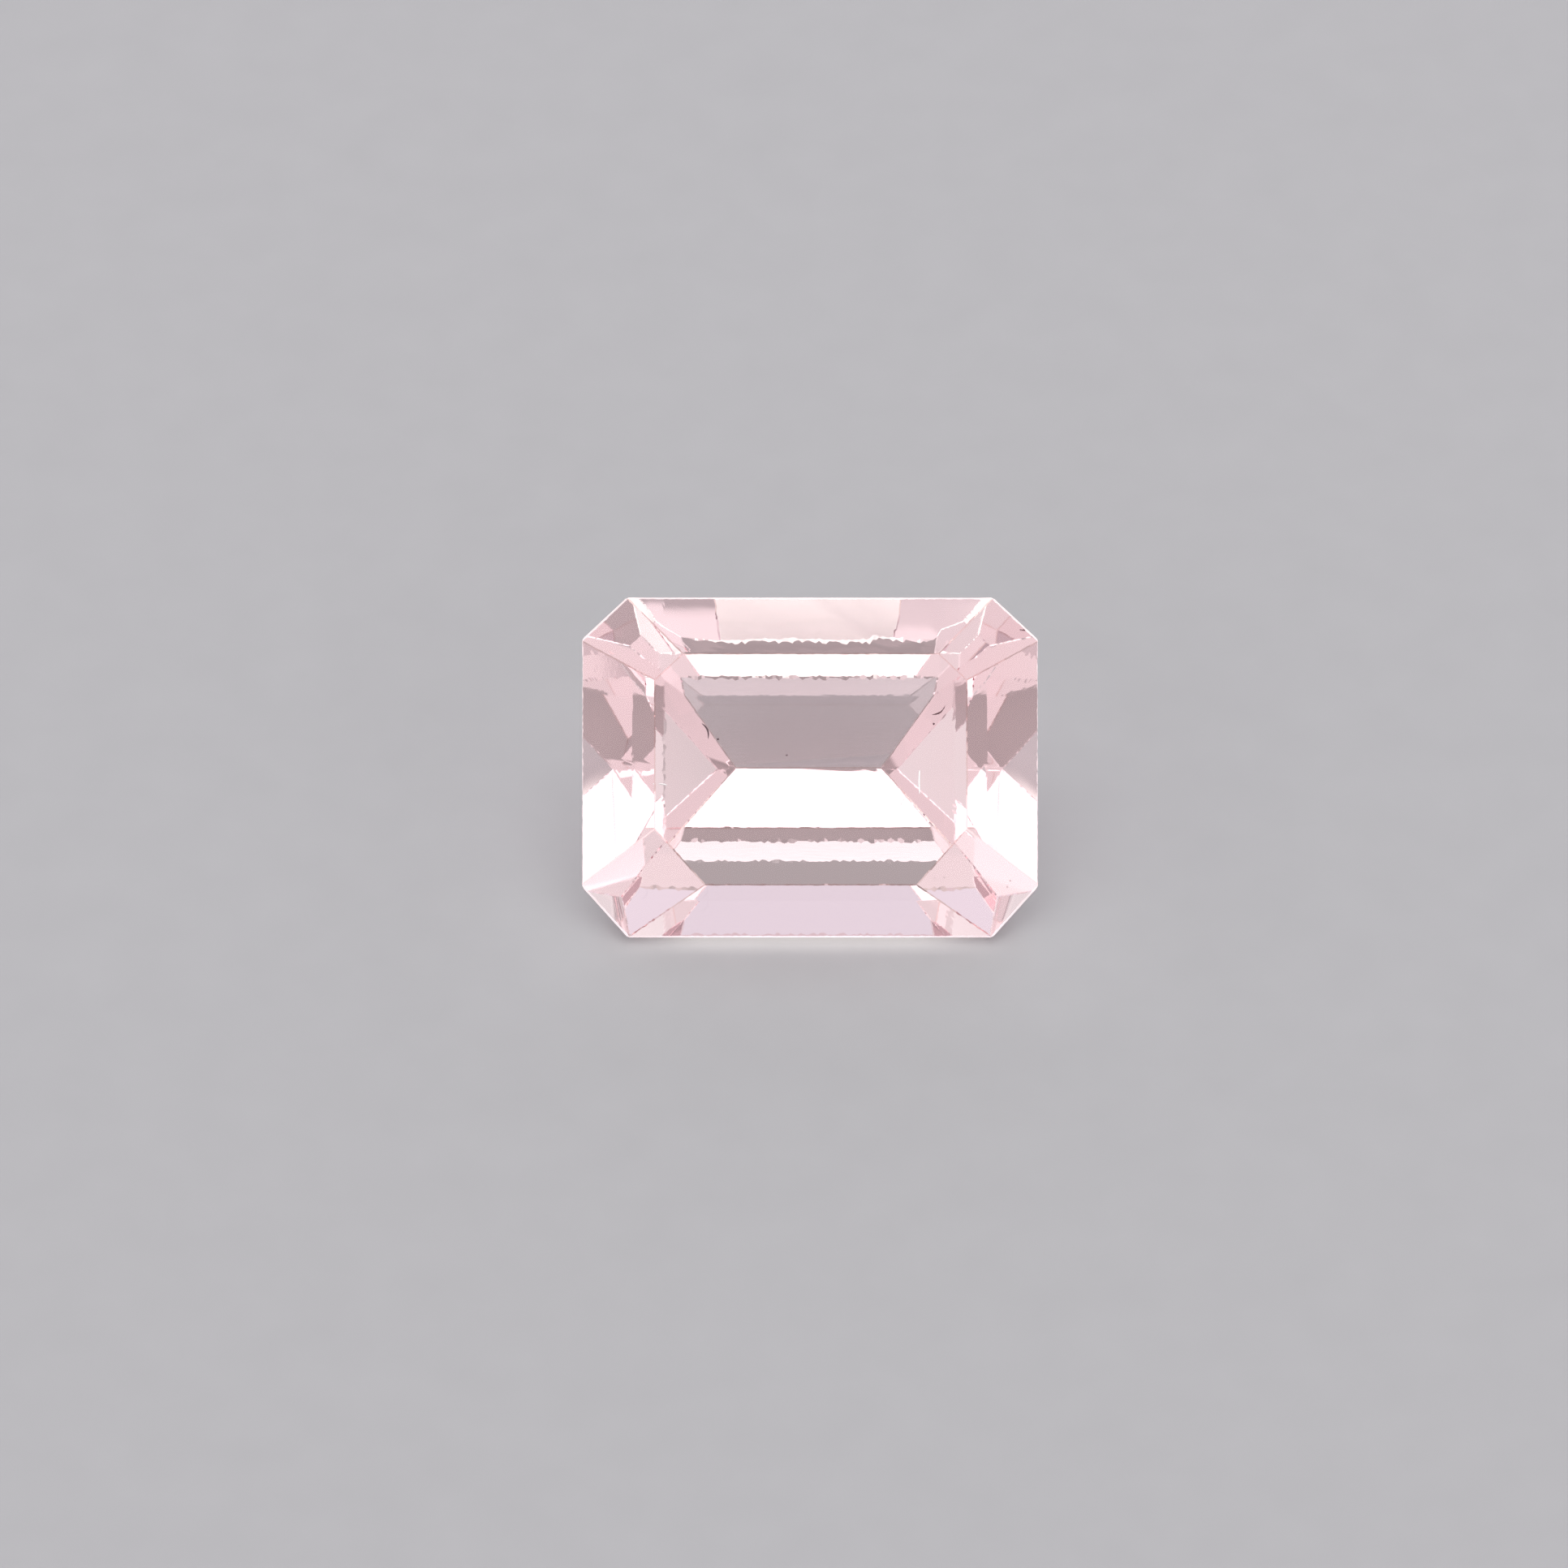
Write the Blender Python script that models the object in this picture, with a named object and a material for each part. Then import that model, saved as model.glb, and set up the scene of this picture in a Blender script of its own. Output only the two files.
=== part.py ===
# Emerald-cut morganite, ground flat by flat from a rough block and laid on its lower pavilion flat.
# While it is cut, the table faces +Z, the long sides face +Y and -Y, and the girdle's middle is at Z = 0.
import math

import bmesh
import bpy
from mathutils import Matrix, Vector

for old in list(bpy.data.objects):
    bpy.data.objects.remove(old, do_unlink=True)

millimetre = 0.001

# The rough block stands clear of the finished stone on every side.
roughLength = 9.0
roughWidth = 7.0
roughDepth = 7.2

# Driving dimensions, in millimetres. The girdle's reach is counted from the stone's axis.
tableHeight = 0.95
longReach = 3.0
endReach = 4.05
cornerReach = 4.4
crownRim = 0.1

# Each kind of side is cut by the same steps. The turns are the ways it faces round the stone in degrees:
# 0 is the right end and 90 the upper long side. A slope is a flat's angle from level in degrees. The rims
# are the heights where crown and pavilion meet the girdle flat, and the step is the depth where the
# pavilion turns to its second slope. The ends have both rims at one height, so they come to a knife edge.
sides = {
    "upper": {
        "turns": (90.0,), "reach": longReach, "girdle": True,
        "crownSlope": 40.0, "topSlope": 52.5, "footSlope": 39.0, "topRim": -0.1, "step": 1.9,
    },
    "ends": {
        "turns": (0.0, 180.0), "reach": endReach, "girdle": False,
        "crownSlope": 33.0, "topSlope": 51.5, "footSlope": 48.5, "topRim": crownRim, "step": 1.75,
    },
    "lower": {
        "turns": (270.0,), "reach": longReach, "girdle": True,
        "crownSlope": 42.5, "topSlope": 46.5, "footSlope": 45.0, "topRim": -0.1, "step": 1.5,
    },
    "upperCorners": {
        "turns": (47.0, 133.0), "reach": cornerReach, "girdle": True,
        "crownSlope": 31.0, "topSlope": 52.0, "footSlope": 43.0, "topRim": 0.0, "step": 1.3,
    },
    "lowerCorners": {
        "turns": (222.0, 318.0), "reach": cornerReach, "girdle": True,
        "crownSlope": 27.5, "topSlope": 58.0, "footSlope": None, "topRim": 0.0, "step": None,
    },
}

# The stone lies on the second pavilion slope of this side.
restingSide = "lower"

# Points closer to a cut than this lie on it.
cutTolerance = 1e-8

upright = 90.0

beryl = {"colour": (0.93, 0.72, 0.74, 1.0), "roughness": 0.02, "ior": 1.585}


def flatNormal(turn, slope, down):
    facing = math.radians(turn)
    lean = math.radians(slope)
    rise = -math.cos(lean) if down else math.cos(lean)
    return Vector((math.sin(lean) * math.cos(facing), math.sin(lean) * math.sin(facing), rise))


def grind(stone, point, normal):
    """Takes off everything on the outer side of a flat and closes the stone there."""
    everything = stone.verts[:] + stone.edges[:] + stone.faces[:]
    cut = bmesh.ops.bisect_plane(
        stone, geom=everything, dist=cutTolerance, plane_co=point, plane_no=normal, clear_outer=True
    )
    rim = [part for part in cut["geom_cut"] if isinstance(part, bmesh.types.BMEdge)]
    if rim:
        bmesh.ops.contextual_create(stone, geom=rim)


def grindFlat(stone, turn, reach, height, slope, down=False):
    """Grinds a flat through the point at a reach and height on the side that it faces."""
    facing = math.radians(turn)
    point = Vector((math.cos(facing) * reach, math.sin(facing) * reach, height)) * millimetre
    grind(stone, point, flatNormal(turn, slope, down))


def grindSide(stone, side):
    reach = side["reach"]
    for turn in side["turns"]:
        if side["girdle"]:
            grindFlat(stone, turn, reach, 0.0, upright)
        grindFlat(stone, turn, reach, crownRim, side["crownSlope"])
        grindFlat(stone, turn, reach, side["topRim"], side["topSlope"], down=True)
        if side["footSlope"] is not None:
            drop = side["topRim"] + side["step"]
            stepReach = reach - drop / math.tan(math.radians(side["topSlope"]))
            grindFlat(stone, turn, stepReach, -side["step"], side["footSlope"], down=True)


def makeStone():
    stone = bmesh.new()
    bmesh.ops.create_cube(stone, size=1.0)
    block = Vector((roughLength, roughWidth, roughDepth)) * millimetre
    bmesh.ops.scale(stone, vec=block, verts=stone.verts)
    grind(stone, Vector((0.0, 0.0, tableHeight * millimetre)), Vector((0.0, 0.0, 1.0)))
    for side in sides.values():
        grindSide(stone, side)
    bmesh.ops.recalc_face_normals(stone, faces=stone.faces)
    return stone


def layDown(stone):
    """Turns the resting flat down, then puts the middle of the stone's box at the origin."""
    tip = Matrix.Rotation(math.radians(sides[restingSide]["footSlope"]), 4, "X")
    bmesh.ops.transform(stone, matrix=tip, verts=stone.verts)
    low = Vector(min(vertex.co[axis] for vertex in stone.verts) for axis in range(3))
    high = Vector(max(vertex.co[axis] for vertex in stone.verts) for axis in range(3))
    middle = (low + high) / 2
    bmesh.ops.translate(stone, vec=(-middle.x, -middle.y, -low.z), verts=stone.verts)


def berylMaterial():
    material = bpy.data.materials.new("beryl")
    material.use_nodes = True
    shader = material.node_tree.nodes["Principled BSDF"]
    shader.inputs["Base Color"].default_value = beryl["colour"]
    shader.inputs["Roughness"].default_value = beryl["roughness"]
    shader.inputs["Metallic"].default_value = 0.0
    shader.inputs["IOR"].default_value = beryl["ior"]
    shader.inputs["Transmission Weight"].default_value = 1.0
    return material


gemCollection = bpy.data.collections.new("morganite")
bpy.context.scene.collection.children.link(gemCollection)
cutStone = makeStone()
layDown(cutStone)
gemMesh = bpy.data.meshes.new("morganite")
cutStone.to_mesh(gemMesh)
cutStone.free()
gemMesh.materials.append(berylMaterial())
gem = bpy.data.objects.new("morganite", gemMesh)
gemCollection.objects.link(gem)
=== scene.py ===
import math
import random

import bmesh
import bpy
from mathutils import Matrix, Vector


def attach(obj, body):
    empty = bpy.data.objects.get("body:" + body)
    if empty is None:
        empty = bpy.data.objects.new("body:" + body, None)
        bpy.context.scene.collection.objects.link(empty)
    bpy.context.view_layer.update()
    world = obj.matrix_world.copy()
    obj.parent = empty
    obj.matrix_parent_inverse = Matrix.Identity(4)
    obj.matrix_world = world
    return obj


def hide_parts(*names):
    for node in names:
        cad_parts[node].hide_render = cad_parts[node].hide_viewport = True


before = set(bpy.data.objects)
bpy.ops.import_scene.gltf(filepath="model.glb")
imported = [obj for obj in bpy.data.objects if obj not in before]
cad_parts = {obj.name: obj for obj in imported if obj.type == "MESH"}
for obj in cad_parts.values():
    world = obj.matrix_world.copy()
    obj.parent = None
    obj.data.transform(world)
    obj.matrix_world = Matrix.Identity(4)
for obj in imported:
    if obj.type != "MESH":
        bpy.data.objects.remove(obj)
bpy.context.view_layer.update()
mm = 0.001


# the camera looks almost straight down on the table, a little off its middle
shot = {
    "distance": 147.0 * mm,          # lens to the girdle
    "lean": (-0.7, -0.7),            # degrees off the stone's axis, along and across
    "aim": (-0.46, -0.29),           # middle of the picture on the girdle plane, in millimetres
    "width": 27.7 * mm,              # width of the picture there
    "sensor": 36.0,                  # width of the sensor in millimetres
    "near": 1.0 * mm,                # nothing closer than this is seen
    "far": 10.0,                     # or farther than this
}
# two directions are alike when the cosine between them is over this
alike = 0.999


def deselectAll():
    if bpy.context.object and bpy.context.object.mode != "OBJECT":
        bpy.ops.object.mode_set(mode="OBJECT")
    bpy.ops.object.select_all(action="DESELECT")


def makeActive(piece):
    deselectAll()
    piece.select_set(True)
    bpy.context.view_layer.objects.active = piece


# the stone's axis goes up through the table, the flat that faces the camera most
def stoneAxis():
    towards = Vector((0.0, -1.0, 1.0))
    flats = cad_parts["morganite"].data.polygons
    return max(flats, key=lambda face: face.normal.dot(towards)).normal.copy()


# the girdle's middle is halfway between its flats on the two long sides
def girdleMiddle():
    axis = stoneAxis()
    across = axis.cross(Vector((1.0, 0.0, 0.0)))
    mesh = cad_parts["morganite"].data
    flats = [face for face in mesh.polygons if abs(face.normal.dot(across)) > alike]
    points = [mesh.vertices[index].co for face in flats for index in face.vertices]
    middle = Vector((0.0, 0.0, 0.0))
    for direction in (across, axis):
        places = [point.dot(direction) for point in points]
        middle += direction * (min(places) + max(places)) / 2
    return middle


# takes a point of the girdle plane, with its height above it, to where the stone lies
def layDown():
    axis = stoneAxis()
    along = Vector((1.0, 0.0, 0.0))
    across = axis.cross(along)
    turn = Matrix((along, across, axis)).transposed().to_4x4()
    return Matrix.Translation(girdleMiddle()) @ turn


def addCamera():
    lay = layDown()
    lean = Vector((*[math.tan(math.radians(angle)) for angle in shot["lean"]], 1.0))
    aim = Vector((*shot["aim"], 0.0)) * mm
    place = lay @ (aim + lean * shot["distance"])
    target = lay @ aim
    bpy.ops.object.camera_add(location=place)
    camera = bpy.context.object
    camera.name = "productCamera"
    back = (place - target).normalized()
    up = (lay.to_3x3() @ Vector((0.0, 1.0, 0.0))).normalized()
    right = up.cross(back).normalized()
    up = back.cross(right)
    turn = Matrix((right, up, back)).transposed().to_4x4()
    camera.matrix_world = Matrix.Translation(place) @ turn
    camera.data.sensor_width = shot["sensor"]
    camera.data.lens = shot["sensor"] * (place - target).length / shot["width"]
    camera.data.clip_start = shot["near"]
    camera.data.clip_end = shot["far"]
    bpy.context.scene.camera = camera
    print("camera done")


def addNode(tree, kind, **settings):
    node = tree.nodes.new(kind)
    for name, value in settings.items():
        setattr(node, name, value)
    return node


# links another node's output to a socket, or sets a plain value on it
def feed(tree, socket, value):
    if isinstance(value, bpy.types.NodeSocket):
        tree.links.new(value, socket)
    else:
        socket.default_value = value


def addMath(tree, operation, first, second=None):
    node = addNode(tree, "ShaderNodeMath", operation=operation)
    feed(tree, node.inputs[0], first)
    if second is not None:
        feed(tree, node.inputs[1], second)
    return node.outputs[0]


def addMix(tree, share, first, second):
    node = addNode(tree, "ShaderNodeMix", data_type="RGBA", clamp_result=False)
    feed(tree, node.inputs[0], share)
    feed(tree, node.inputs[6], first)
    feed(tree, node.inputs[7], second)
    return node.outputs[2]


# 0 to 1 across an edge: the distance to it runs from minus the softness to plus the softness
def softEdge(tree, distance, softness):
    ramp = addNode(tree, "ShaderNodeMapRange", interpolation_type="SMOOTHSTEP")
    feed(tree, ramp.inputs["Value"], distance)
    feed(tree, ramp.inputs["From Min"], addMath(tree, "MULTIPLY", softness, -1.0))
    feed(tree, ramp.inputs["From Max"], softness)
    return ramp.outputs["Result"]


# a new node group, with what it is given and what it hands out
def startGroup(name, inputs, outputs):
    group = bpy.data.node_groups.new(name, "ShaderNodeTree")
    for label, (kind, value) in inputs.items():
        socket = group.interface.new_socket(label, in_out="INPUT", socket_type="NodeSocket" + kind)
        socket.default_value = value
    for label, kind in outputs.items():
        group.interface.new_socket(label, in_out="OUTPUT", socket_type="NodeSocket" + kind)
    return group, group.nodes.new("NodeGroupInput").outputs, group.nodes.new("NodeGroupOutput").inputs


def addGroup(tree, group, **values):
    node = addNode(tree, "ShaderNodeGroup", node_tree=group)
    for label, value in values.items():
        feed(tree, node.inputs[label], value)
    return node


# the light tent is a plain soft room with brighter and darker sides. Angles are in degrees as seen from
# the stone: turn 0 is to the right, 90 behind it and 270 the camera's side; low and high are heights.
# A panel reaches as far as its reach on both sides of its turn, and its edges are soft.
tentSoftness = 2.5
tentRoom = (0.88, 0.88, 0.88)
tentPanels = {
    "lowRight": {"turn": 5, "reach": 20, "low": 10, "high": 55, "light": (0.50, 0.50, 0.50)},
    "leftWindow": {"turn": 220, "reach": 15, "low": 15, "high": 40, "light": (1.1, 1.1, 1.1)},
    "rightWindow": {"turn": 335, "reach": 25, "low": 25, "high": 35, "light": (1.1, 1.1, 1.1)},
    "rearWall": {"turn": 90, "reach": 60, "low": 10, "high": 58, "light": (0.86, 0.83, 0.91)},
    "rearGap": {"turn": 90, "reach": 60, "low": 66, "high": 80, "light": (0.45, 0.45, 0.45)},
    "cameraSide": {"turn": 270, "reach": 8, "low": -5, "high": 60, "light": (0.41, 0.41, 0.41)},
}
# the ceiling lamp is a flat rectangle, in tilts from straight up: across to the right, along to the rear
ceilingLamp = {"across": 0, "reach": 32, "near": -29, "far": 9, "light": (1.7, 1.7, 1.7)}


def tentPanelGroup():
    inputs = {
        "Under": ("Color", (0, 0, 0, 1)), "Light": ("Color", (1, 1, 1, 1)), "Softness": ("Float", 3.0),
        "Angle": ("Float", 0.0), "Middle": ("Float", 0.0), "Reach": ("Float", 10.0),
        "Height": ("Float", 0.0), "Low": ("Float", 0.0), "High": ("Float", 10.0),
    }
    group, given, result = startGroup("tentPanel", inputs, {"Color": "Color"})
    soft = given["Softness"]
    # the shorter way round from the panel's middle
    halfTurn = 180.0
    turned = addMath(group, "ADD", addMath(group, "SUBTRACT", given["Angle"], given["Middle"]), halfTurn)
    wrap = addNode(group, "ShaderNodeMath", operation="WRAP")
    feed(group, wrap.inputs[0], turned)
    wrap.inputs[1].default_value = 2 * halfTurn
    wrap.inputs[2].default_value = 0.0
    offset = addMath(group, "ABSOLUTE", addMath(group, "SUBTRACT", wrap.outputs[0], halfTurn))
    inReach = softEdge(group, addMath(group, "SUBTRACT", given["Reach"], offset), soft)
    overLow = softEdge(group, addMath(group, "SUBTRACT", given["Height"], given["Low"]), soft)
    underHigh = softEdge(group, addMath(group, "SUBTRACT", given["High"], given["Height"]), soft)
    inside = addMath(group, "MULTIPLY", inReach, addMath(group, "MULTIPLY", overLow, underHigh))
    feed(group, result["Color"], addMix(group, inside, given["Under"], given["Light"]))
    return group


def makeWorld():
    world = bpy.data.worlds.new("lightTent")
    bpy.context.scene.world = world
    world.use_nodes = True
    tree = world.node_tree
    group = tentPanelGroup()
    way = addNode(tree, "ShaderNodeTexCoord")
    split = addNode(tree, "ShaderNodeSeparateXYZ")
    feed(tree, split.inputs[0], way.outputs["Generated"])
    x, y, z = split.outputs
    turn = addMath(tree, "DEGREES", addMath(tree, "ARCTAN2", y, x))
    height = addMath(tree, "DEGREES", addMath(tree, "ARCSINE", z))
    across = addMath(tree, "DEGREES", addMath(tree, "ARCTAN2", x, z))
    along = addMath(tree, "DEGREES", addMath(tree, "ARCTAN2", y, z))
    under = (*tentRoom, 1.0)
    for look in tentPanels.values():
        panel = addGroup(tree, group, Under=under, Light=(*look["light"], 1.0), Softness=tentSoftness,
                         Angle=turn, Middle=look["turn"], Reach=look["reach"],
                         Height=height, Low=look["low"], High=look["high"])
        under = panel.outputs["Color"]
    lamp = addGroup(tree, group, Under=under, Light=(*ceilingLamp["light"], 1.0), Softness=tentSoftness,
                    Angle=across, Middle=ceilingLamp["across"], Reach=ceilingLamp["reach"],
                    Height=along, Low=ceilingLamp["near"], High=ceilingLamp["far"])
    feed(tree, tree.nodes["Background"].inputs["Color"], lamp.outputs["Color"])
    print("light tent done")


# the air gap under the resting facet keeps the facet a mirror, as it is on a real table
floorLook = {
    "grey": (0.488, 0.483, 0.493), "speckle": 0.015, "grain": 900.0,     # grain is noise cells per metre
    "roughness": 0.32, "size": 3.0, "air gap": 0.02 * mm,               # size is in metres
}
# light painted on the floor by its emission, in place of the light the stone gathers there: a pool under
# it, and a faint pink rim around it
paintedFloorGlows = {
    "pool": {"middle": (0.0, -0.15 * mm), "reach": (2.5 * mm, 1.75 * mm), "fade": 0.75 * mm,
             "light": (1.1, 1.1, 1.02)},
    "rim": {"middle": (0.0, 0.3 * mm), "reach": (5.2 * mm, 3.6 * mm), "fade": 2.2 * mm,
            "light": (0.056, 0.053, 0.056)},
}


# adds painted light to the colour under it, inside a soft-edged rectangle
def paintedGlowGroup():
    inputs = {
        "Place": ("Vector", (0, 0, 0)), "Middle": ("Vector", (0, 0, 0)), "Reach": ("Vector", (1, 1, 1)),
        "Fade": ("Float", 0.1), "Under": ("Color", (0, 0, 0, 1)), "Light": ("Color", (1, 1, 1, 1)),
    }
    group, given, result = startGroup("paintedGlow", inputs, {"Color": "Color"})
    offset = addNode(group, "ShaderNodeVectorMath", operation="SUBTRACT")
    feed(group, offset.inputs[0], given["Place"])
    feed(group, offset.inputs[1], given["Middle"])
    size = addNode(group, "ShaderNodeVectorMath", operation="ABSOLUTE")
    feed(group, size.inputs[0], offset.outputs[0])
    margin = addNode(group, "ShaderNodeVectorMath", operation="SUBTRACT")
    feed(group, margin.inputs[0], given["Reach"])
    feed(group, margin.inputs[1], size.outputs[0])
    split = addNode(group, "ShaderNodeSeparateXYZ")
    feed(group, split.inputs[0], margin.outputs[0])
    inside = addMath(group, "MULTIPLY", softEdge(group, split.outputs[0], given["Fade"]),
                     softEdge(group, split.outputs[1], given["Fade"]))
    added = addNode(group, "ShaderNodeMix", data_type="RGBA", blend_type="ADD", clamp_result=False)
    feed(group, added.inputs[0], inside)
    feed(group, added.inputs[6], given["Under"])
    feed(group, added.inputs[7], given["Light"])
    feed(group, result["Color"], added.outputs[2])
    return group


def makeFloor():
    bpy.ops.mesh.primitive_plane_add(size=floorLook["size"], location=(0, 0, -floorLook["air gap"]))
    floor = bpy.context.object
    floor.name = "floor"
    material = bpy.data.materials.new("floorGrey")
    material.use_nodes = True
    tree = material.node_tree
    shader = tree.nodes["Principled BSDF"]
    place = addNode(tree, "ShaderNodeTexCoord")
    grain = addNode(tree, "ShaderNodeTexNoise")
    grain.inputs["Scale"].default_value = floorLook["grain"]
    feed(tree, grain.inputs["Vector"], place.outputs["Object"])
    lighter = [value + floorLook["speckle"] for value in floorLook["grey"]]
    darker = [value - floorLook["speckle"] for value in floorLook["grey"]]
    feed(tree, shader.inputs["Base Color"], addMix(tree, grain.outputs["Fac"], (*darker, 1), (*lighter, 1)))
    shader.inputs["Roughness"].default_value = floorLook["roughness"]
    paintedGlow = paintedGlowGroup()
    light = (0.0, 0.0, 0.0, 1.0)
    for look in paintedFloorGlows.values():
        light = addGroup(tree, paintedGlow, Place=place.outputs["Object"], Middle=(*look["middle"], 0.0),
                         Reach=(*look["reach"], 1.0), Fade=look["fade"], Under=light,
                         Light=(*look["light"], 1.0)).outputs["Color"]
    # painted light: the pool and the rim glow out of the floor's emission
    feed(tree, shader.inputs["Emission Color"], light)
    shader.inputs["Emission Strength"].default_value = 1.0
    floor.data.materials.append(material)
    print("floor done")


# the stone's looks: what it lets through, and how rough its polished flats, worn edges and girdle are
morganiteLook = {
    "tint": (0.96, 0.30, 0.40), "density": 48.0,         # density is per metre
    "ior": 1.585,
    "polished": 0.0, "worn": 0.04, "ground": 0.50,        # roughness
    "wear cell": 30.0,
    "wave cell": 2.5, "wave depth": 0.00004 * mm,         # cells per millimetre, slight waves of the polish
    "mark cell": 2.5, "mark stretch": 8.0, "mark depth": 0.00005 * mm,
    "painted edge shade": (0.76, 0.58, 0.54),                      # painted shade: brownish tint on the worn facet edges, which shows them as thin dark lines
    "painted girdle glow": (0.40, 0.38, 0.38),                   # painted light: a glow painted on the ground girdle
}


# fine waves and one-way polishing lines of a flat, as a height in metres
def polishGroup():
    inputs = {
        "Place": ("Vector", (0, 0, 0)), "Wave Cell": ("Float", 2.0), "Wave Depth": ("Float", 0.0),
        "Mark Cell": ("Float", 10.0), "Mark Stretch": ("Float", 10.0), "Mark Depth": ("Float", 0.0),
    }
    group, given, result = startGroup("polish", inputs, {"Height": "Float"})
    wave = addNode(group, "ShaderNodeTexNoise")
    feed(group, wave.inputs["Vector"], given["Place"])
    feed(group, wave.inputs["Scale"], given["Wave Cell"])
    wave.inputs["Detail"].default_value = 1.0
    stretch = addNode(group, "ShaderNodeCombineXYZ")
    stretch.inputs["X"].default_value = 1.0
    feed(group, stretch.inputs["Y"], given["Mark Stretch"])
    feed(group, stretch.inputs["Z"], given["Mark Stretch"])
    spread = addNode(group, "ShaderNodeVectorMath", operation="MULTIPLY")
    feed(group, spread.inputs[0], given["Place"])
    feed(group, spread.inputs[1], stretch.outputs[0])
    marks = addNode(group, "ShaderNodeTexNoise")
    feed(group, marks.inputs["Vector"], spread.outputs[0])
    feed(group, marks.inputs["Scale"], given["Mark Cell"])
    high = addMath(group, "MULTIPLY", wave.outputs["Fac"], given["Wave Depth"])
    fine = addMath(group, "MULTIPLY", marks.outputs["Fac"], given["Mark Depth"])
    feed(group, result["Height"], addMath(group, "ADD", high, fine))
    return group


# every face has its wear as a mask
wearLevels = {"polished": 0.0, "worn": 0.5, "ground": 1.0}


# roughness and masks of the worn edges and of the girdle, broken up a little by noise
def wearGroup():
    inputs = {
        "Place": ("Vector", (0, 0, 0)), "Wear": ("Float", 0.0), "Cell": ("Float", 30.0),
        "Polished": ("Float", 0.0), "Worn": ("Float", 0.1), "Ground": ("Float", 0.3),
    }
    outputs = {"Roughness": "Float", "Girdle": "Float", "Edge": "Float"}
    group, given, result = startGroup("wear", inputs, outputs)
    level = addMath(group, "MULTIPLY", given["Wear"], 1 / wearLevels["worn"])
    worn = addMath(group, "MINIMUM", level, 1.0)
    ground = addMath(group, "MAXIMUM", addMath(group, "SUBTRACT", level, 1.0), 0.0)
    noise = addNode(group, "ShaderNodeTexNoise")
    feed(group, noise.inputs["Vector"], given["Place"])
    feed(group, noise.inputs["Scale"], given["Cell"])
    uneven = addMath(group, "ADD", noise.outputs["Fac"], 0.5)     # about 1 on average
    edges = addMath(group, "MULTIPLY", worn, addMath(group, "SUBTRACT", given["Worn"], given["Polished"]))
    rim = addMath(group, "MULTIPLY", ground, addMath(group, "SUBTRACT", given["Ground"], given["Worn"]))
    rough = addMath(group, "MULTIPLY", addMath(group, "ADD", edges, rim), uneven)
    feed(group, result["Roughness"], addMath(group, "ADD", rough, given["Polished"]))
    feed(group, result["Girdle"], addMath(group, "MULTIPLY", ground, uneven))
    feed(group, result["Edge"], addMath(group, "SUBTRACT", worn, ground))
    return group


def makeMorganite():
    look = morganiteLook
    material = bpy.data.materials.new("morganite")
    material.use_nodes = True
    tree = material.node_tree
    shader = tree.nodes["Principled BSDF"]
    shader.inputs["IOR"].default_value = look["ior"]
    shader.inputs["Transmission Weight"].default_value = 1.0
    place = addNode(tree, "ShaderNodeTexCoord")
    toMillimetres = addNode(tree, "ShaderNodeMapping")
    toMillimetres.inputs["Scale"].default_value = (1 / mm, 1 / mm, 1 / mm)
    feed(tree, toMillimetres.inputs["Vector"], place.outputs["Object"])
    here = toMillimetres.outputs["Vector"]
    wearMask = addNode(tree, "ShaderNodeAttribute", attribute_name="wear")
    wear = addGroup(tree, wearGroup(), Place=here, Wear=wearMask.outputs["Fac"], Cell=look["wear cell"],
                    Polished=look["polished"], Worn=look["worn"], Ground=look["ground"])
    feed(tree, shader.inputs["Roughness"], wear.outputs["Roughness"])
    # painted shade: the worn facet edges are tinted brownish so that they read as thin dark lines
    feed(tree, shader.inputs["Base Color"],
         addMix(tree, wear.outputs["Edge"], (1, 1, 1, 1), (*look["painted edge shade"], 1)))
    # painted light: the ground girdle glows through its emission, though it is no lamp
    feed(tree, shader.inputs["Emission Color"],
         addMix(tree, wear.outputs["Girdle"], (0, 0, 0, 1), (*look["painted girdle glow"], 1)))
    shader.inputs["Emission Strength"].default_value = 1.0
    polish = addGroup(tree, polishGroup(), Place=here)
    for name in ("wave cell", "wave depth", "mark cell", "mark stretch", "mark depth"):
        polish.inputs[name.title()].default_value = look[name]
    bump = addNode(tree, "ShaderNodeBump")
    bump.inputs["Distance"].default_value = 1.0
    feed(tree, bump.inputs["Height"], polish.outputs["Height"])
    feed(tree, shader.inputs["Normal"], bump.outputs["Normal"])
    inside = addNode(tree, "ShaderNodeVolumeAbsorption")
    inside.inputs["Color"].default_value = (*look["tint"], 1.0)
    inside.inputs["Density"].default_value = look["density"]
    feed(tree, tree.nodes["Material Output"].inputs["Volume"], inside.outputs["Volume"])
    return material


# every edge is taken off by a narrow flat, wider at the girdle, and its rim is chipped; in millimetres
edgeLook = {
    "facet": 0.018, "step": 0.022, "girdle": 0.06,           # width of the flat
    "spacing": 0.06, "chip": 0.012, "step chip": 0.07,       # between the chips, and the deepest ones
    "chip power": 2.2,                                       # above 1 most chips are shallow
    "corner share": 0.3,                                     # deepest chip by its distance to a corner
    "seed": 4,
}
workTolerance = 1e-6                # millimetres
mergeDistance = 1e-3                # millimetres
flatAngle = math.radians(0.5)       # facets that differ less than this are one
sameWay = 0.002                     # radians, between an edge's flat and the cut that made it
girdleLean = 0.03                   # a girdle flat's normal goes less than this up or down the axis
belowGirdle = -0.1                  # a pavilion flat's normal goes at least this far down the axis
oneSide = math.radians(8)           # the two steps of one side are turned apart by less than this


# a girdle flat runs along the stone's axis
def isGirdle(normal, axis):
    return abs(normal.dot(axis)) < girdleLean


# girdle flats, and the knife edges where crown and pavilion meet without one
def touchesGirdle(normals, axis):
    heights = [normal.dot(axis) for normal in normals]
    return any(isGirdle(normal, axis) for normal in normals) or min(heights) < 0 < max(heights)


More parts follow.
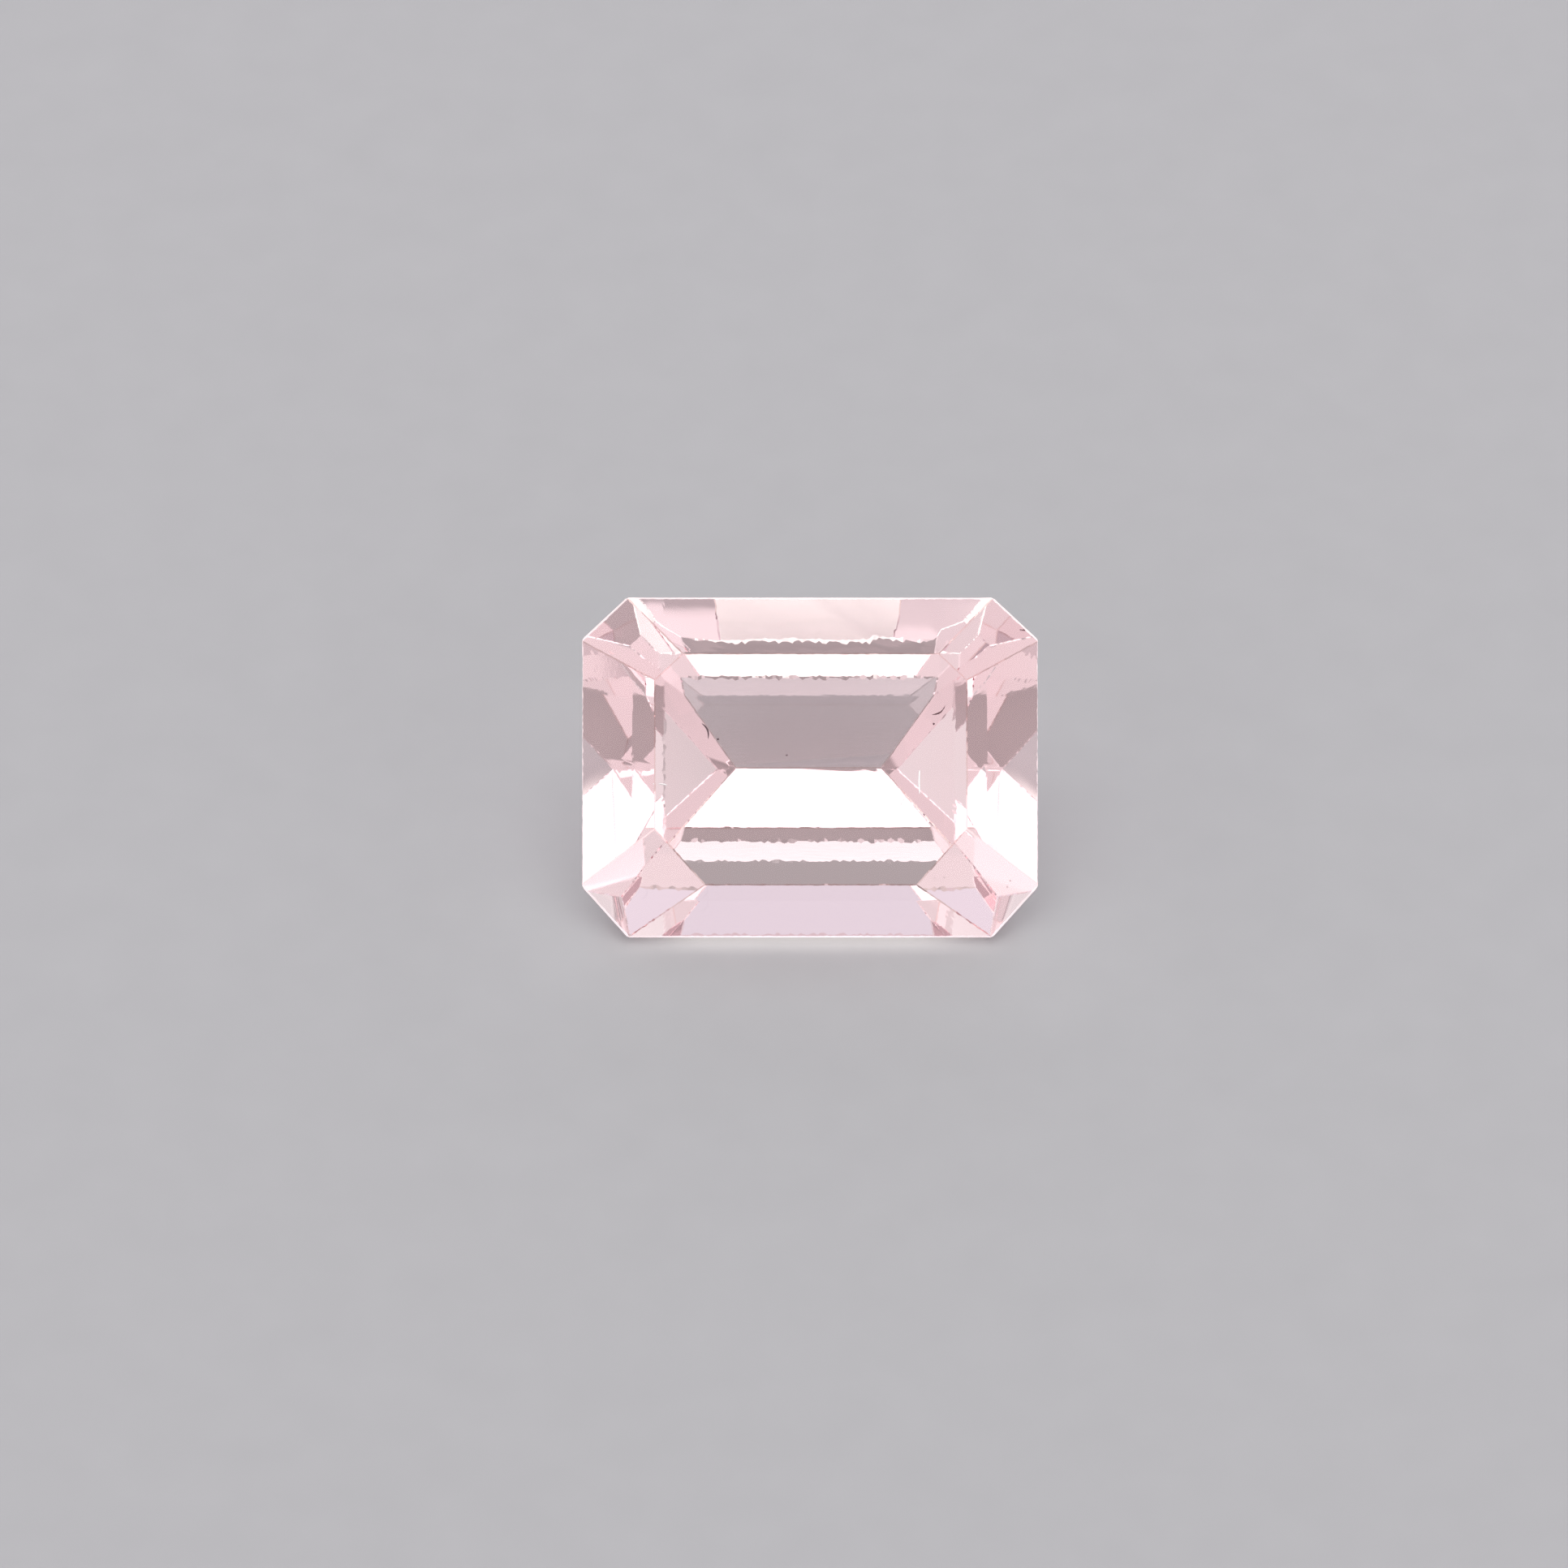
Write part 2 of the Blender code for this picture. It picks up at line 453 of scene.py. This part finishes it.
# two flats of one side of the pavilion, one step below the other
def isPavilionStep(normals, axis):
    if max(normal.dot(axis) for normal in normals) > belowGirdle:
        return False
    first, second = [normal - axis * normal.dot(axis) for normal in normals]
    return first.angle(second) < oneSide


# takes off everything on the outer side of a plane and closes the stone there
def grind(work, point, normal):
    everything = work.verts[:] + work.edges[:] + work.faces[:]
    cut = bmesh.ops.bisect_plane(work, geom=everything, dist=workTolerance, plane_co=point,
                                 plane_no=normal, clear_outer=True)
    rim = [part for part in cut["geom_cut"] if isinstance(part, bmesh.types.BMEdge)]
    if rim:
        bmesh.ops.contextual_create(work, geom=rim)


# breaks every edge, and gives each face its wear
def breakEdges(work, axis, wear):
    cuts = []
    for edge in work.edges:
        normals = [face.normal.copy() for face in edge.link_faces]
        atGirdle = touchesGirdle(normals, axis)
        kind = "girdle" if atGirdle else "step" if isPavilionStep(normals, axis) else "facet"
        facing = (normals[0] + normals[1]).normalized()
        depth = edgeLook[kind] / 2 * math.tan(normals[0].angle(normals[1]) / 2)
        amount = wearLevels["ground"] if atGirdle else wearLevels["worn"]
        cuts.append((edge.verts[0].co - facing * depth, facing, amount))
    for point, facing, _ in cuts:
        grind(work, point, facing)
    bmesh.ops.recalc_face_normals(work, faces=work.faces)
    bmesh.ops.dissolve_degenerate(work, dist=workTolerance, edges=work.edges)
    work.normal_update()
    for face in work.faces:
        nearest = min(cuts, key=lambda cut: face.normal.angle(cut[1]))
        face[wear] = wearLevels["polished"]
        if face.normal.angle(nearest[1]) < sameWay:
            face[wear] = nearest[2]
        if isGirdle(face.normal, axis):
            face[wear] = wearLevels["ground"]


# evenly spaced points along an edge, in order from its start
def addPoints(edge, start, count):
    points = []
    for left in range(count, 0, -1):
        start = bmesh.utils.edge_split(edge, start, 1.0 / (left + 1))[1]
        points.append(start)
    return points


# points are added along both rims of an edge's flat, and each slides a little into the facet beside it
def chipEdges(work, axis, strips):
    dice = random.Random(edgeLook["seed"])
    for strip in strips:
        rims = sorted(strip.edges, key=lambda edge: edge.calc_length())[-2:]
        count = int(rims[0].calc_length() / edgeLook["spacing"])
        beside = [next(face for face in rim.link_faces if face is not strip) for rim in rims]
        if count < 1 or any(face in strips for face in beside):
            continue
        reach = edgeLook["chip"]
        if isPavilionStep([face.normal for face in beside], axis):
            reach = edgeLook["step chip"]
        start = rims[0].verts[0]
        others = sorted(rims[1].verts, key=lambda vert: (vert.co - start.co).length)
        rows = []
        for rim, face, first in zip(rims, beside, (start, others[0])):
            along = (rim.other_vert(first).co - first.co).normalized()
            inward = face.normal.cross(along)
            if inward.dot(face.calc_center_median() - first.co) < 0:
                inward = -inward
            length = rim.calc_length()
            points = addPoints(rim, first, count)
            for number, point in enumerate(points, 1):
                # near a corner a chip stays shallow, so that it can't meet the next edge's chips
                fromEnd = length * min(number, count + 1 - number) / (count + 1)
                depth = min(reach, edgeLook["corner share"] * fromEnd)
                point.co += inward * depth * dice.random() ** edgeLook["chip power"]
            rows.append(points)
        for left, right in zip(*rows):
            shared = next(face for face in left.link_faces if right in face.verts)
            bmesh.utils.face_split(shared, left, right)


def makeStone():
    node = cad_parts["morganite"]
    deselectAll()
    stone = node.copy()
    stone.data = node.data.copy()
    stone.name = "cutStone"
    bpy.context.scene.collection.objects.link(stone)
    stone.parent = None
    makeActive(stone)
    # the work is done in millimetres, because the edges are finer than what the tools can do in metres
    stone.data.transform(Matrix.Scale(1 / mm, 4))
    bpy.ops.object.mode_set(mode="EDIT")
    bpy.ops.mesh.select_all(action="SELECT")
    bpy.ops.mesh.remove_doubles(threshold=mergeDistance)
    bpy.ops.mesh.dissolve_limited(angle_limit=flatAngle)
    bpy.ops.object.mode_set(mode="OBJECT")
    axis = stoneAxis()
    print("stone flats", len(stone.data.polygons))
    work = bmesh.new()
    work.from_mesh(stone.data)
    wear = work.faces.layers.float.new("worn")
    breakEdges(work, axis, wear)
    strips = [face for face in work.faces
              if face[wear] > wearLevels["polished"] and not isGirdle(face.normal, axis)]
    print("stone edges", len(strips))
    chipEdges(work, axis, strips)
    work.normal_update()
    mask = work.loops.layers.float.new("wear")
    for face in work.faces:
        for corner in face.loops:
            corner[mask] = face[wear]
    work.faces.layers.float.remove(wear)
    work.to_mesh(stone.data)
    work.free()
    stone.data.transform(Matrix.Scale(mm, 4))
    stone.data.materials.clear()
    stone.data.materials.append(makeMorganite())
    print("stone faces", len(stone.data.polygons))
    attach(stone, "root")
    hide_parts("morganite")


# small marks inside the stone, placed on its girdle plane and raised above it; lengths in millimetres.
# Flatness is a stroke's thickness by its width.
marks = {
    "featherMarks": {
        "tint": (0.30, 0.20, 0.23), "roughness": 0.6, "metallic": 0.0, "flatness": 1.0,
        "strokes": {
            "curve": {"at": (-1.86, 0.63), "turn": -68, "length": 0.30, "width": 0.030, "bow": 0.05},
            "dot": {"at": (-1.63, 0.49), "turn": 0, "length": 0.045, "width": 0.035, "bow": 0.0},
            "speck": {"at": (-0.42, 0.21), "turn": 20, "length": 0.04, "width": 0.025, "bow": 0.0},
        },
    },
    # thin gas-filled needles lean towards the ceiling and mirror it
    "needleMarks": {
        "tint": (0.98, 0.95, 0.95), "roughness": 0.05, "metallic": 1.0, "flatness": 0.12,
        "strokes": {
            "upright": {"at": (1.92, -0.26), "turn": 90, "length": 0.44, "width": 0.035, "bow": 0.01},
            "short": {"at": (-2.60, -0.31), "turn": -8, "length": 0.16, "width": 0.030, "bow": 0.01},
            "slant": {"at": (1.62, -0.62), "turn": 62, "length": 0.15, "width": 0.025, "bow": 0.01},
        },
    },
}
markHeight = 0.5
markLean = math.radians(-7)
# a cloudy noise darkens the tint by the shade and adds the haze to the roughness
markCloud = {"cell": 25.0 / mm, "shade": 0.7, "haze": 0.2}


# a stroke is a ball drawn out along its length, thinned and bowed
def addStroke(look, flatness):
    bpy.ops.mesh.primitive_uv_sphere_add(segments=8, ring_count=14, radius=0.5)
    stroke = bpy.context.object
    for vertex in stroke.data.vertices:
        lengthwise = 2 * vertex.co.z
        bow = look["bow"] * (1 - lengthwise ** 2)
        vertex.co = (look["length"] * vertex.co.z, look["width"] * vertex.co.y + bow,
                     look["width"] * flatness * vertex.co.x)
    turn = Matrix.Rotation(math.radians(look["turn"]), 4, "Z")
    lean = Matrix.Rotation(markLean, 4, "X")
    lift = Matrix.Translation((*look["at"], markHeight))
    stroke.data.transform(layDown() @ Matrix.Scale(mm, 4) @ lift @ lean @ turn)
    return stroke


def makeMarks(name, look):
    strokes = [addStroke(stroke, look["flatness"]) for stroke in look["strokes"].values()]
    deselectAll()
    for stroke in strokes:
        stroke.select_set(True)
    bpy.context.view_layer.objects.active = strokes[0]
    bpy.ops.object.join()
    piece = bpy.context.object
    piece.name = name
    bpy.ops.object.mode_set(mode="EDIT")
    bpy.ops.mesh.select_all(action="SELECT")
    bpy.ops.mesh.normals_make_consistent(inside=False)
    bpy.ops.object.mode_set(mode="OBJECT")
    material = bpy.data.materials.new(name)
    material.use_nodes = True
    tree = material.node_tree
    shader = tree.nodes["Principled BSDF"]
    place = addNode(tree, "ShaderNodeTexCoord")
    cloud = addNode(tree, "ShaderNodeTexNoise")
    cloud.inputs["Scale"].default_value = markCloud["cell"]
    feed(tree, cloud.inputs["Vector"], place.outputs["Object"])
    deep = [value * markCloud["shade"] for value in look["tint"]]
    tint = addMix(tree, cloud.outputs["Fac"], (*deep, 1), (*look["tint"], 1))
    feed(tree, shader.inputs["Base Color"], tint)
    shader.inputs["Metallic"].default_value = look["metallic"]
    haze = addMath(tree, "MULTIPLY", cloud.outputs["Fac"], markCloud["haze"])
    feed(tree, shader.inputs["Roughness"], addMath(tree, "ADD", look["roughness"], haze))
    piece.data.materials.append(material)
    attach(piece, "root")
    print("marks", name, len(piece.data.polygons))


addCamera()
makeWorld()
makeFloor()
makeStone()
for name, look in marks.items():
    makeMarks(name, look)

bpy.context.scene.view_settings.view_transform = "Standard"
# light crosses a cut stone many times before it leaves
lightBounces = 16
for limit in ("max_bounces", "glossy_bounces", "transmission_bounces"):
    setattr(bpy.context.scene.cycles, limit, lightBounces)
